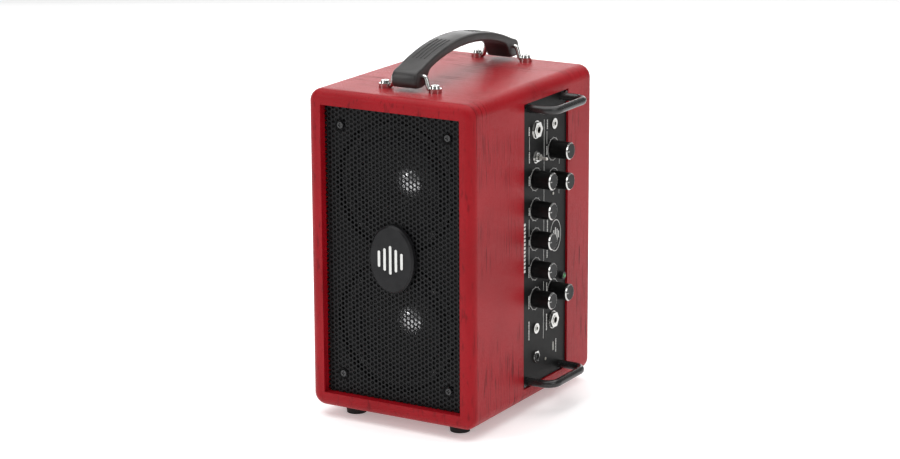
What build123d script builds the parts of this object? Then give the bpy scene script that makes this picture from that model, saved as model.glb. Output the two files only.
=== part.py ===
"""Two-driver portable instrument amplifier, in millimetres.

The frame is +Z up. The grille faces -Y, the control panel faces +X, and the feet stand on
z = 0. The origin is the middle of the footprint, bumper bars included, so the cabinet's own
middle lies at cab_x.
"""

import os
from math import cos, radians, sin, tan

from build123d import *

os.makedirs("parts", exist_ok=True)

# Driving dimensions

# Cabinet, measured over its covering
width = 186.0
depth = 244.0
height = 322.0
side_edge_radius = 13.0
face_edge_radius = 9.0
wall = 15.0
covering = 1.0
batten = 10.0
batten_depth = 12.0
board_gap = 0.15

# Screws. A hole is wider all round than its shank by the hole gap, and the cross in a head is
# a share of the head's radius
hole_gap = 0.1
wood_screw_radius = 1.75
wood_screw_length = 12.0
wood_screw_head = 3.8
wood_screw_rise = 2.4
small_screw_radius = 1.6
small_screw_length = 12.0
small_screw_head = 2.6
small_screw_rise = 1.8
screw_head_taper = 14.0
cross_arm = 1.1
cross_width = 0.3
panel_screw_radius = 1.4
panel_screw_length = 11.0
panel_screw_head = 2.5
panel_screw_rise = 1.8

# Feet
foot_height = 11.0
foot_radius = 11.0
foot_taper = 6.0
foot_inset_x = 33.0
foot_inset_y = 31.0
foot_recess = 5.0
foot_head_clearance = 1.0

# Grille and badge
grille_recess = 8.0
grille_thickness = 1.2
grille_gap = 0.3
dish_depth = 2.3
dish_flare = 2.6
dish_head_clearance = 0.6
grille_screw_inset_x = 17.6
grille_screw_inset_z = 20.0
badge_width = 50.0
badge_height = 68.0
badge_thickness = 6.5
badge_bevel = 2.0
emblem_bars = 5
emblem_pitch = 6.4
emblem_bar_width = 2.8
emblem_tallest = 28.6
emblem_step = 6.1
emblem_height = 0.8

# Front board, and what its two drivers leave between them
baffle_thickness = 18.0
driver_web = 6.0
rebate_clearance = 5.0
rebate_depth = 9.0
throat_clearance = 1.5

# Driver frames
flange_radius = 62.0
flange_thickness = 4.0
flange_screws = 4
screw_margin = 3.5
throat_inset = 7.5
basket_taper = 10.5
basket_depth = 38.5
basket_wall = 2.4
basket_floor = 3.0
basket_waist_wall = 0.4
lip_thickness = 2.7
spider_ledge = 7.0
spider_ledge_width = 8.0
spoke_count = 6
spoke_width = 13.0
window_margin = 3.0

# Motors
magnet_radius = 35.0
magnet_thickness = 15.0
magnet_overhang = 3.0
magnet_hole_clearance = 3.0
plate_thickness = 5.0
vent_radius = 3.0
coil_radius = 12.8
former_wall = 0.3
winding_thickness = 0.5
winding_length = 13.0
winding_reach = 4.0
coil_outer_gap = 0.4
coil_inner_gap = 0.5

# Cones, caps and spiders
cone_wall = 0.8
cone_depth = 20.8
cone_bend = 0.3
neck_collar = 1.2
dust_cap_overlap = 1.4
dust_cap_height = 5.5
dust_cap_wall = 0.4
spider_wall = 0.5
spider_waves = 5
spider_wave_height = 0.8
spider_edge_gap = 1.2
glue_gap = 0.1

# Rubber surrounds, the same on drivers and passive radiators
surround_wall = 0.6
roll_width = 6.4
lip_width = 3.0
lip_overlap = 0.8
lip_backing = 0.3
gasket_width = 4.0
gasket_thickness = 1.5
gasket_clearance = 0.4

# Back board and the two passive radiators
rear_recess = 6.0
rear_panel_thickness = 15.0
radiator_rebate = 5.0
radiator_rebate_clearance = 1.0
radiator_hole_clearance = 0.8
radiator_wall_inset = 1.3
radiator_wall_depth = 13.0
radiator_lip_thickness = 2.6
radiator_cone_wall = 1.2
radiator_cone_depth = 8.0
radiator_mass_radius = 14.0
radiator_mass_depth = 5.0
rear_screw_inset = 5.8

# Control panel in the right-hand side
panel_y = 23.5
panel_width = 90.0
panel_margin = 16.5
panel_gap = 0.5
panel_thickness = 2.0
panel_sink = 2.0
panel_corner_radius = 3.0
ledge = 4.5
ledge_top = 12.0
panel_screw_inset_y = 3.0
panel_screw_inset_z = 3.2

# Rows and columns of controls: drops from the panel's top edge, rises from its bottom edge
column = 18.0
knob_pitch = 30.5
front_knobs_drop = 79.5
aux_knob_drop = 56.0
limiter_knob_drop = 87.0
line_out_knob_rise = 87.5
phone_jack_drop = 29.5
mini_jack_drop = 30.0
toggle_drop = 57.0
lower_jack_rise = 56.5
dc_rise = 27.0
port_rise = 28.0
port_offset = 20.0
power_lamp_rise = 98.5
power_lamp_offset = 36.0
clip_lamp_drop = 101.5
charge_lamp_rise = 19.0
charge_lamp_offset = 3.5

# Potentiometers and knobs
knob_radius = 9.0
knob_top_radius = 8.6
knob_length = 19.0
knob_lift = 1.0
knob_skirt = 2.0
knob_chamfer = 1.0
knob_face_sink = 0.4
knob_rim = 0.4
knob_bush_clearance = 2.5
shaft_radius = 3.0
shaft_gap = 0.05
shaft_end_gap = 0.5
pot_radius = 8.3
pot_depth = 12.0
pot_back = 2.0
bush_radius = 3.5
bush_reach = 4.5
pot_nut_flats = 10.0
pot_nut_thickness = 2.0
nut_gap = 0.05

# Sockets, each bored 0.05 mm wider all round than the plug it takes
thread_proud = 0.4
phone_bore_radius = 3.225
phone_bush_radius = 4.7
phone_body = 15.0
phone_body_depth = 28.0
phone_back = 2.0
phone_washer_radius = 9.0
phone_washer_thickness = 0.8
phone_nut_flats = 14.5
phone_nut_thickness = 2.4
mini_bore_radius = 1.8
mini_bush_radius = 3.0
mini_body = 9.0
mini_body_depth = 12.0
mini_back = 1.5
mini_nut_radius = 5.3
mini_nut_thickness = 1.8
dc_bore_radius = 2.9
dc_bore_depth = 10.0
dc_pin_radius = 1.05
dc_pin_length = 9.0
dc_bush_radius = 4.0
dc_body_wall = 1.6
dc_body_depth = 11.0
dc_reach = 2.8
dc_nut_flats = 11.0
dc_nut_thickness = 2.0
port_length = 9.0
port_width = 3.2
port_wall = 0.4
port_depth = 8.0
port_back = 1.0
port_tongue = 0.7
port_tongue_gap = 0.8
port_sink = 0.1

# Toggle switch
toggle_tilt = 12.0
toggle_pivot_reach = 2.0
toggle_reach = 5.5
toggle_bush_radius = 3.0
toggle_ball_radius = 2.4
toggle_bore_below_panel = 3.0
toggle_lever_length = 11.5
toggle_lever_radius = 1.5
toggle_neck_radius = 1.1
toggle_body_width = 13.0
toggle_body_height = 8.0
toggle_body_depth = 10.0
toggle_washer_radius = 6.3
toggle_washer_thickness = 0.7
toggle_nut_flats = 9.5
toggle_nut_thickness = 2.0

# Lamps
power_lamp_radius = 2.5
power_lamp_reach = 2.5
bezel_radius = 3.9
bezel_height = 3.6
bezel_collar = 0.45
bezel_gap = 0.05
lamp_tail = 4.0
small_lamp_radius = 1.5
small_lamp_reach = 0.4

# Electronics behind the panel
chassis_depth = 48.0
chassis_wall = 1.2
chassis_gap = 0.5
board_thickness = 1.6
board_margin = 0.8
board_cutout_gap = 0.75
sink_margin = 9.5
sink_base = 4.0
sink_height = 80.0
sink_middle = 50.0
fin_count = 9
fin_thickness = 1.6
fin_depth = 13.0
battery_height = 100.0
battery_middle = -62.0
battery_depth = 17.0
battery_corner = 6.0

# Bumper bars across both ends of the panel
guard_radius = 4.0
guard_reach = 28.6
guard_bend = 12.0
guard_screw_clearance = 1.5
guard_inset = 5.5
guard_stud_radius = 2.5
guard_stud_length = 10.0

# Handle on top
handle_y = 8.5
rod_half_span = 90.0
rod_lift = 14.8
rod_radius = 2.2
rod_gap = 0.2
rod_bend = 4.0
rod_half_width = 17.5
rod_foot_half_width = 21.0
eye_half_width = 28.2
eye_radius = 6.3
eye_head_gap = 0.2
handle_screw_head = 4.6
handle_screw_rise = 2.8
strap_width = 28.0
strap_thickness = 9.3
strap_rise = 40.7
strap_arc_radius = 236.0
strap_end_reach = 12.5
strap_end_length = 26.5
strap_end_height = 19.0
strap_end_drop = 1.9
strap_end_corner = 5.0

# Levels and places that follow from the sizes above

panel_reach = width / 2 - panel_sink
cab_x = -(panel_reach + guard_reach + guard_radius - width / 2) / 2
floor_z = foot_height
mid_z = foot_height + height / 2
top_z = foot_height + height
front_y = -depth / 2
back_y = depth / 2

inner_width = width - 2 * wall
inner_height = height - 2 * wall
wood_hole = wood_screw_radius + hole_gap
foot_recess_radius = wood_screw_head + foot_head_clearance
dish_floor_radius = wood_screw_head + dish_head_clearance
dish_radius = dish_floor_radius + dish_flare

# Front to back through the grille, the front board and a driver
grille_front = front_y + grille_recess
grille_back = grille_front + grille_thickness
baffle_front = grille_back + dish_depth
baffle_back = baffle_front + baffle_thickness
rebate_floor = baffle_front + rebate_depth
flange_front = rebate_floor - flange_thickness
basket_back = rebate_floor + basket_depth
spider_seat = basket_back - basket_floor - spider_ledge
top_plate_back = basket_back + plate_thickness
magnet_back = top_plate_back + magnet_thickness
motor_back = magnet_back + plate_thickness

# Outwards from a driver's axis
gap_outer_radius = coil_radius + former_wall + winding_thickness + coil_outer_gap
pole_radius = coil_radius - coil_inner_gap
magnet_hole_radius = gap_outer_radius + magnet_hole_clearance
plate_radius = magnet_radius - magnet_overhang
flange_screw_circle = flange_radius - screw_margin
gasket_outer_radius = flange_screw_circle - small_screw_head - gasket_clearance
gasket_inner_radius = gasket_outer_radius - gasket_width
roll_outer_radius = gasket_inner_radius + lip_overlap - lip_width
roll_inner_radius = roll_outer_radius - roll_width
flange_lip_radius = roll_outer_radius - lip_backing
basket_throat_radius = flange_radius - throat_inset
basket_waist_radius = basket_throat_radius - basket_taper
spider_ledge_radius = basket_waist_radius - spider_ledge_width
baffle_hole_radius = basket_throat_radius + throat_clearance
rebate_radius = flange_radius + rebate_clearance
driver_pitch = 2 * rebate_radius + driver_web

# The radiators, which share the drivers' heights
rear_outer = back_y - rear_recess
rear_inner = rear_outer - rear_panel_thickness
radiator_floor = rear_outer - radiator_rebate
radiator_front = radiator_floor + flange_thickness
radiator_rebate_radius = flange_radius + radiator_rebate_clearance
radiator_wall_radius = basket_throat_radius - radiator_wall_inset
radiator_hole_radius = radiator_wall_radius + radiator_hole_clearance

# The panel, its pocket and the opening behind it
panel_outer = cab_x + panel_reach
panel_inner = panel_outer - panel_thickness
panel_height = height - 2 * panel_margin
panel_top = mid_z + panel_height / 2
panel_foot = mid_z - panel_height / 2
pocket_width = panel_width + 2 * panel_gap
pocket_height = panel_height + 2 * panel_gap
through_width = pocket_width - 2 * ledge
through_height = pocket_height - 2 * ledge_top
chassis_width = through_width - 2 * chassis_gap
chassis_height = through_height - 2 * chassis_gap
chassis_floor = panel_inner - chassis_depth
sink_floor = chassis_floor + chassis_wall
sink_width = chassis_width - 2 * sink_margin
board_front = panel_inner - pot_depth
knob_base = panel_outer + knob_lift
phone_reach = phone_washer_thickness + phone_nut_thickness + thread_proud
mini_reach = mini_nut_thickness + thread_proud
front_column = panel_y - column
rear_column = panel_y + column

driver_heights = {"upper": mid_z + driver_pitch / 2, "lower": mid_z - driver_pitch / 2}
foot_places = [
    (cab_x + sx * (width / 2 - foot_inset_x), sy * (depth / 2 - foot_inset_y))
    for sx in (-1, 1)
    for sy in (-1, 1)
]
grille_screw_places = [
    (sx * (inner_width / 2 - grille_screw_inset_x), mid_z + sz * (inner_height / 2 - grille_screw_inset_z))
    for sx in (-1, 1)
    for sz in (-1, 1)
]
rear_screw_places = [
    (sx * (inner_width / 2 - rear_screw_inset), mid_z + row * (inner_height / 2 - rear_screw_inset))
    for sx in (-1, 1)
    for row in (-1, 0, 1)
]
panel_screw_places = [
    (
        panel_y + sy * (panel_width / 2 - panel_screw_inset_y),
        mid_z + sz * (panel_height / 2 - panel_screw_inset_z),
    )
    for sy in (-1, 1)
    for sz in (-1, 1)
]
guard_heights = {"upper": panel_top - guard_inset, "lower": panel_foot + guard_inset}
guard_half_spacing = (
    panel_width / 2 - panel_screw_inset_y - panel_screw_head - guard_screw_clearance - guard_radius
)
guard_leg_places = [
    (panel_y + sy * guard_half_spacing, z) for sy in (-1, 1) for z in guard_heights.values()
]
handle_screw_places = [
    (cab_x + sx * eye_half_width, handle_y + sy * rod_half_span) for sx in (-1, 1) for sy in (-1, 1)
]

knob_places = {
    name: (front_column, panel_top - front_knobs_drop - row * knob_pitch)
    for row, name in enumerate(("input", "bass", "middle", "treble", "master"))
}
knob_places["aux"] = (rear_column, panel_top - aux_knob_drop)
knob_places["limiter"] = (rear_column, panel_top - limiter_knob_drop)
knob_places["line_out"] = (rear_column, panel_foot + line_out_knob_rise)

phone_places = [(front_column, panel_top - phone_jack_drop), (rear_column, panel_foot + lower_jack_rise)]
mini_places = [(rear_column, panel_top - mini_jack_drop), (front_column, panel_foot + lower_jack_rise)]
toggle_place = (front_column, panel_top - toggle_drop)
dc_place = (front_column, panel_foot + dc_rise)
port_place = (panel_y + port_offset, panel_foot + port_rise)
power_lamp_place = (panel_y + power_lamp_offset, panel_foot + power_lamp_rise)
small_lamp_places = [
    (rear_column, panel_top - clip_lamp_drop),
    (panel_y + charge_lamp_offset, panel_foot + charge_lamp_rise),
]


# Planes and small shapes used by many pieces


def facing_front(y):
    """Plane across the cabinet at depth y, read as x and z, with its normal towards -Y."""
    return Plane(origin=(cab_x, y, 0), x_dir=(1, 0, 0), z_dir=(0, -1, 0))


def facing_back(y):
    """The same plane with its normal towards +Y. Its x runs the other way."""
    return Plane(origin=(cab_x, y, 0), x_dir=(-1, 0, 0), z_dir=(0, 1, 0))


def facing_right(x):
    """Plane at x, read as y and z, with its normal towards +X."""
    return Plane(origin=(x, 0, 0), x_dir=(0, 1, 0), z_dir=(1, 0, 0))


def through_driver(z):
    """Level plane through a driver's axis, read as radius and y."""
    return Plane(origin=(cab_x, 0, z), x_dir=(1, 0, 0), z_dir=(0, 0, 1))


def driver_axis(z):
    return Axis((cab_x, 0, z), (0, 1, 0))


def turned(z, *points):
    """Adds the closed outline of (radius, y) points, turned about a driver's axis."""
    with BuildSketch(through_driver(z)) as outline:
        with BuildLine():
            Polyline(*points, close=True)
        make_face()
    revolve(outline.sketch, axis=driver_axis(z))


def discs(plane, places, radius, length, mode=Mode.ADD):
    """Adds or cuts one round bar at each place. A negative length runs behind the plane."""
    with BuildSketch(plane) as outline:
        with Locations(*places):
            Circle(radius)
    extrude(outline.sketch, amount=length, mode=mode)


def pan_screws(plane, places, head, head_rise, shank, length):
    """Cross-head screws that seat on the plane, with their shanks behind it."""
    with BuildSketch(plane) as heads:
        with Locations(*places):
            Circle(head)
    extrude(heads.sketch, amount=head_rise, taper=screw_head_taper)
    discs(plane, places, shank, -length)
    with BuildSketch(plane.offset(head_rise)) as crosses:
        with Locations(*places):
            Rectangle(head * cross_arm, head * cross_width)
            Rectangle(head * cross_width, head * cross_arm)
    extrude(crosses.sketch, amount=-head_rise / 2, mode=Mode.SUBTRACT)


def hex_nuts(plane, places, across_flats, thickness, bore):
    """Hexagon nuts that seat on the plane."""
    with BuildSketch(plane) as outline:
        with Locations(*places):
            RegularPolygon(across_flats / 2, 6, major_radius=False)
            Circle(bore, mode=Mode.SUBTRACT)
    extrude(outline.sketch, amount=thickness)


def flange_screw_places(z):
    """The screw circle of a driver or radiator at height z, read across the cabinet and up."""
    return [
        (flange_screw_circle * cos(angle), z + flange_screw_circle * sin(angle))
        for angle in (radians(45 + 360 / flange_screws * turn) for turn in range(flange_screws))
    ]


def rounded_block(inset):
    """The cabinet's outside shape, taken in by inset on every face."""
    with BuildPart() as block:
        with Locations((cab_x, 0, mid_z)):
            Box(width - 2 * inset, depth - 2 * inset, height - 2 * inset)
        fillet(block.edges().filter_by(Axis.Y), side_edge_radius - inset)
        fillet(block.faces().sort_by(Axis.Y)[0].edges(), face_edge_radius - inset)
        fillet(block.faces().sort_by(Axis.Y)[-1].edges(), face_edge_radius - inset)
    return block.part


def cut_cavity():
    """Cuts the inside of the box, open at the front and the back."""
    with Locations((cab_x, 0, mid_z)):
        Box(inner_width, 2 * depth, inner_height, mode=Mode.SUBTRACT)


def cut_panel_opening(pocket_margin):
    """Cuts the panel's pocket, wider by the margin, and the smaller hole behind its ledge."""
    with BuildSketch(facing_right(panel_inner)) as pocket:
        with Locations((panel_y, mid_z)):
            Rectangle(pocket_width + 2 * pocket_margin, pocket_height + 2 * pocket_margin)
    extrude(pocket.sketch, amount=wall, mode=Mode.SUBTRACT)
    with BuildSketch(facing_right(panel_inner)) as through:
        with Locations((panel_y, mid_z)):
            Rectangle(through_width, through_height)
    extrude(through.sketch, amount=-wall, mode=Mode.SUBTRACT)


def drill_cabinet():
    """Screw holes for the feet and the handle, through covering and board."""
    foot_hole_depth = wood_screw_length + foot_recess
    discs(Plane.XY.offset(floor_z), foot_places, wood_hole, foot_hole_depth, Mode.SUBTRACT)
    discs(Plane.XY.offset(top_z), handle_screw_places, wood_hole, -wood_screw_length, Mode.SUBTRACT)


# Cabinet: a glued board box with battens, then its covering

board_box = rounded_block(covering)
covered_box = rounded_block(0)

with BuildPart() as carcass_blank:
    add(board_box)
    cut_cavity()
    for lip_start, lip_end in ((front_y, baffle_front), (rear_outer, back_y)):
        with Locations((cab_x, (lip_start + lip_end) / 2, mid_z)):
            Box(
                inner_width + 2 * covering,
                lip_end - lip_start,
                inner_height + 2 * covering,
                mode=Mode.SUBTRACT,
            )
    cut_panel_opening(covering)

with BuildPart() as cabinet_carcass:
    add(carcass_blank.part)
    for start in (baffle_back, rear_inner - batten_depth):
        with BuildSketch(facing_back(start)):
            with Locations((0, mid_z)):
                Rectangle(inner_width, inner_height)
                Rectangle(inner_width - 2 * batten, inner_height - 2 * batten, mode=Mode.SUBTRACT)
        extrude(amount=batten_depth)
    drill_cabinet()
    discs(facing_right(panel_inner), guard_leg_places, guard_stud_radius + 2 * hole_gap, -wall, Mode.SUBTRACT)
    discs(facing_right(panel_inner), panel_screw_places, panel_screw_radius + hole_gap, -wall, Mode.SUBTRACT)
    discs(
        facing_back(rear_inner),
        rear_screw_places,
        wood_hole,
        -batten_depth / 2,
        Mode.SUBTRACT,
    )
cabinet_carcass.part.label = "cabinet_carcass"
export_step(cabinet_carcass.part, "parts/cabinet_carcass.step")

with BuildPart() as vinyl_covering:
    add(covered_box)
    cut_cavity()
    cut_panel_opening(0)
    add(carcass_blank.part, mode=Mode.SUBTRACT)
    drill_cabinet()
vinyl_covering.part.label = "vinyl_covering"
export_step(vinyl_covering.part, "parts/vinyl_covering.step")

with BuildPart() as feet:
    with BuildSketch(Plane.XY):
        with Locations(*foot_places):
            Circle(foot_radius - foot_height * tan(radians(foot_taper)))
    extrude(amount=foot_height, taper=-foot_taper)
    discs(Plane.XY, foot_places, foot_recess_radius, foot_recess, Mode.SUBTRACT)
    discs(Plane.XY, foot_places, wood_hole, foot_height, Mode.SUBTRACT)
feet.part.label = "feet"
export_step(feet.part, "parts/feet.step")

with BuildPart() as foot_screws:
    pan_screws(
        Plane(origin=(0, 0, foot_recess), x_dir=(1, 0, 0), z_dir=(0, 0, -1)),
        [(x, -y) for x, y in foot_places],
        wood_screw_head,
        wood_screw_rise,
        wood_screw_radius,
        foot_height - foot_recess + wood_screw_length,
    )
foot_screws.part.label = "foot_screws"
export_step(foot_screws.part, "parts/foot_screws.step")


# Front: baffle board, grille with a pressed dish at each screw, badge

with BuildPart() as baffle:
    with BuildSketch(facing_front(baffle_back)):
        with Locations((0, mid_z)):
            Rectangle(inner_width - 2 * board_gap, inner_height - 2 * board_gap)
        with Locations(*[(0, z) for z in driver_heights.values()]):
            Circle(baffle_hole_radius, mode=Mode.SUBTRACT)
    extrude(amount=baffle_thickness)
    discs(
        facing_front(baffle_front),
        [(0, z) for z in driver_heights.values()],
        rebate_radius,
        -rebate_depth,
        Mode.SUBTRACT,
    )
    discs(
        facing_front(baffle_front),
        grille_screw_places,
        wood_hole,
        -wood_screw_length,
        Mode.SUBTRACT,
    )
    for z in driver_heights.values():
        discs(
            facing_front(rebate_floor),
            flange_screw_places(z),
            small_screw_radius + hole_gap,
            -small_screw_length,
            Mode.SUBTRACT,
        )
baffle.part.label = "baffle"
export_step(baffle.part, "parts/baffle.step")

with BuildPart() as grille:
    with BuildSketch(facing_front(grille_back)):
        with Locations((0, mid_z)):
            Rectangle(inner_width - 2 * grille_gap, inner_height - 2 * grille_gap)
        with Locations(*grille_screw_places):
            Circle(dish_radius, mode=Mode.SUBTRACT)
    extrude(amount=grille_thickness)
    for x, z in grille_screw_places:
        centre = Plane(origin=(cab_x + x, 0, z), x_dir=(1, 0, 0), z_dir=(0, 0, 1))
        with BuildSketch(centre):
            with BuildLine():
                Polyline(
                    (dish_radius, grille_front),
                    (dish_floor_radius, grille_front + dish_depth),
                    (wood_hole, grille_front + dish_depth),
                    (wood_hole, baffle_front),
                    (dish_floor_radius, baffle_front),
                    (dish_radius, grille_back),
                    close=True,
                )
            make_face()
        revolve(axis=Axis((cab_x + x, 0, z), (0, 1, 0)))
grille.part.label = "grille"
export_step(grille.part, "parts/grille.step")

with BuildPart() as grille_screws:
    pan_screws(
        facing_front(grille_front + dish_depth),
        grille_screw_places,
        wood_screw_head,
        wood_screw_rise,
        wood_screw_radius,
        wood_screw_length,
    )
grille_screws.part.label = "grille_screws"
export_step(grille_screws.part, "parts/grille_screws.step")

with BuildPart() as badge:
    with BuildSketch(facing_front(grille_front)):
        with Locations((0, mid_z)):
            Ellipse(badge_width / 2, badge_height / 2)
    extrude(amount=badge_thickness)
    chamfer(badge.faces().sort_by(Axis.Y)[0].edges(), badge_bevel)
badge.part.label = "badge"
export_step(badge.part, "parts/badge.step")

# The emblem is a plain row of sound-level bars, tallest in the middle
with BuildPart() as badge_emblem:
    with BuildSketch(facing_front(grille_front - badge_thickness)):
        for bar in range(emblem_bars):
            step = bar - (emblem_bars - 1) / 2
            with Locations((step * emblem_pitch, mid_z)):
                SlotOverall(emblem_tallest - emblem_step * abs(step), emblem_bar_width, rotation=90)
    extrude(amount=emblem_height)
badge_emblem.part.label = "badge_emblem"
export_step(badge_emblem.part, "parts/badge_emblem.step")


# Drivers: fixed pieces of both share a node, and what moves or flexes has its own

with BuildPart() as driver_baskets:
    for z in driver_heights.values():
        inner_throat = basket_throat_radius - basket_wall
        waist_inside = basket_waist_radius - basket_waist_wall
        turned(
            z,
            (flange_lip_radius, flange_front),
            (flange_radius, flange_front),
            (flange_radius, rebate_floor),
            (basket_throat_radius, rebate_floor),
            (basket_waist_radius, basket_back - flange_thickness),
            (basket_waist_radius, basket_back),
            (magnet_hole_radius, basket_back),
            (magnet_hole_radius, basket_back - basket_floor),
            (spider_ledge_radius, basket_back - basket_floor),
            (spider_ledge_radius, spider_seat),
            (waist_inside, spider_seat),
            (inner_throat, rebate_floor),
            (flange_lip_radius, flange_front + lip_thickness),
        )
        with BuildSketch(facing_back(rebate_floor + window_margin)):
            with Locations((0, z)):
                Circle(basket_throat_radius)
                Circle(spider_ledge_radius + window_margin, mode=Mode.SUBTRACT)
                with PolarLocations(basket_waist_radius, spoke_count):
                    Rectangle(basket_waist_radius, spoke_width, mode=Mode.SUBTRACT)
        extrude(amount=spider_seat - rebate_floor - 2 * window_margin, mode=Mode.SUBTRACT)
        discs(
            facing_front(flange_front),
            flange_screw_places(z),
            small_screw_radius + hole_gap,
            -flange_thickness,
            Mode.SUBTRACT,
        )
driver_baskets.part.label = "driver_baskets"
export_step(driver_baskets.part, "parts/driver_baskets.step")

with BuildPart() as driver_screws:
    for z in driver_heights.values():
        pan_screws(
            facing_front(flange_front),
            flange_screw_places(z),
            small_screw_head,
            small_screw_rise,
            small_screw_radius,
            small_screw_length,
        )
driver_screws.part.label = "driver_screws"
export_step(driver_screws.part, "parts/driver_screws.step")

with BuildPart() as driver_pole_plates:
    for z in driver_heights.values():
        turned(
            z,
            (gap_outer_radius, basket_back),
            (plate_radius, basket_back),
            (plate_radius, top_plate_back),
            (gap_outer_radius, top_plate_back),
        )
        turned(
            z,
            (vent_radius, basket_back),
            (pole_radius, basket_back),
            (pole_radius, magnet_back),
            (plate_radius, magnet_back),
            (plate_radius, motor_back),
            (vent_radius, motor_back),
        )
driver_pole_plates.part.label = "driver_pole_plates"
export_step(driver_pole_plates.part, "parts/driver_pole_plates.step")

with BuildPart() as driver_magnets:
    for z in driver_heights.values():
        turned(
            z,
            (magnet_hole_radius, top_plate_back),
            (magnet_radius, top_plate_back),
            (magnet_radius, magnet_back),
            (magnet_hole_radius, magnet_back),
        )
driver_magnets.part.label = "driver_magnets"
export_step(driver_magnets.part, "parts/driver_magnets.step")


def half_roll(z, lip_y, outward):
    """Rubber surround: a half-round roll that stands outward from two flat lips.

    The lips' back face is at lip_y, and outward is -1 at the front and 1 at the back.
    """
    roll_middle = (roll_inner_radius + roll_outer_radius) / 2
    roll_radius = (roll_outer_radius - roll_inner_radius) / 2
    lip_face = lip_y + outward * surround_wall
    with BuildPart() as ring:
        with BuildSketch(through_driver(z)) as outline:
            with Locations((roll_middle, lip_y)):
                Circle(roll_radius + surround_wall)
                Circle(roll_radius, mode=Mode.SUBTRACT)
            with Locations((roll_middle, lip_y - outward * roll_radius)):
                Rectangle(4 * roll_radius, 2 * roll_radius, mode=Mode.SUBTRACT)
            for centre in (roll_inner_radius - lip_width / 2, roll_outer_radius + lip_width / 2):
                with Locations((centre, (lip_y + lip_face) / 2)):
                    Rectangle(lip_width, surround_wall)
        revolve(outline.sketch, axis=driver_axis(z))
    return ring.part


# Every surround seats on its frame, and a glue line parts it from the cone behind it
cone_face = flange_front + glue_gap
cone_inner_radius = roll_inner_radius - lip_width
cone_neck = cone_face + cone_depth
former_outer = coil_radius + former_wall
winding_radius = former_outer + winding_thickness
coil_end = top_plate_back + winding_reach

for place, z in driver_heights.items():
    roll = half_roll(z, flange_front, -1)
    with BuildPart() as surround:
        add(roll)
    surround.part.label = f"{place}_surround"
    export_step(surround.part, f"parts/{place}_surround.step")

    # The voice coil's former and winding are glued to the cone's neck
    with BuildPart() as cone:
        turned(
            z,
            (roll_inner_radius, cone_face),
            (cone_inner_radius, cone_face),
            (former_outer, cone_neck),
            (coil_radius, cone_neck),
            (coil_radius, coil_end),
            (winding_radius, coil_end),
            (winding_radius, coil_end - winding_length),
            (former_outer, coil_end - winding_length),
            (former_outer, cone_neck + neck_collar),
            (cone_inner_radius + cone_bend, cone_face + cone_wall),
            (roll_inner_radius, cone_face + cone_wall),
        )
    cone.part.label = f"{place}_cone"
    export_step(cone.part, f"parts/{place}_cone.step")

    # Spherical cap whose edge seats on the cone just outside the neck
    with BuildPart() as dust_cap:
        dust_cap_radius = coil_radius + dust_cap_overlap
        slope = cone_depth / (cone_inner_radius - former_outer)
        seat = cone_neck - slope * (dust_cap_radius - former_outer) - glue_gap
        sphere_radius = (dust_cap_radius**2 + dust_cap_height**2) / (2 * dust_cap_height)
        centre_y = seat - dust_cap_height + sphere_radius
        with BuildSketch(through_driver(z)):
            with Locations((0, centre_y)):
                Circle(sphere_radius)
                Circle(sphere_radius - dust_cap_wall, mode=Mode.SUBTRACT)
            with Locations((dust_cap_radius / 2, seat - dust_cap_height)):
                Rectangle(dust_cap_radius, 2 * dust_cap_height, mode=Mode.INTERSECT)
        revolve(axis=driver_axis(z))
    dust_cap.part.label = f"{place}_dust_cap"
    export_step(dust_cap.part, f"parts/{place}_dust_cap.step")

    # Corrugated disc that centres the coil
    with BuildPart() as spider:
        inner = former_outer + glue_gap
        level = spider_seat - spider_wall
        pitch = (spider_ledge_radius - inner) / (spider_waves + 1)
        front_side = [(inner, level)]
        for wave in range(spider_waves):
            start = inner + (wave + 0.5) * pitch
            front_side.append((start + pitch / 4, level - spider_wave_height))
            front_side.append((start + pitch * 3 / 4, level + spider_wave_height))
        front_side.append((spider_ledge_radius - pitch / 2, level))
        front_side.append((basket_waist_radius - spider_edge_gap, level))
        turned(z, *front_side, *[(r, y + spider_wall) for r, y in reversed(front_side)])
    spider.part.label = f"{place}_spider"
    export_step(spider.part, f"parts/{place}_spider.step")

with BuildPart() as driver_gaskets:
    for z in driver_heights.values():
        lip_front = flange_front - surround_wall
        turned(
            z,
            (gasket_inner_radius, lip_front - gasket_thickness),
            (gasket_outer_radius, lip_front - gasket_thickness),
            (gasket_outer_radius, flange_front),
            (roll_outer_radius + lip_width, flange_front),
            (roll_outer_radius + lip_width, lip_front),
            (gasket_inner_radius, lip_front),
        )
driver_gaskets.part.label = "driver_gaskets"
export_step(driver_gaskets.part, "parts/driver_gaskets.step")


# Back: board, passive radiators that face the rear

with BuildPart() as rear_panel:
    with BuildSketch(facing_back(rear_inner)):
        with Locations((0, mid_z)):
            Rectangle(inner_width - 2 * board_gap, inner_height - 2 * board_gap)
        with Locations(*[(0, z) for z in driver_heights.values()]):
            Circle(radiator_hole_radius, mode=Mode.SUBTRACT)
    extrude(amount=rear_panel_thickness)
    discs(
        facing_back(rear_outer),
        [(0, z) for z in driver_heights.values()],
        radiator_rebate_radius,
        -radiator_rebate,
        Mode.SUBTRACT,
    )
    discs(
        facing_back(rear_outer),
        rear_screw_places,
        wood_hole,
        -rear_panel_thickness,
        Mode.SUBTRACT,
    )
    for z in driver_heights.values():
        discs(
            facing_back(radiator_floor),
            flange_screw_places(z),
            small_screw_radius + hole_gap,
            -small_screw_length,
            Mode.SUBTRACT,
        )
rear_panel.part.label = "rear_panel"
export_step(rear_panel.part, "parts/rear_panel.step")

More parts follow.
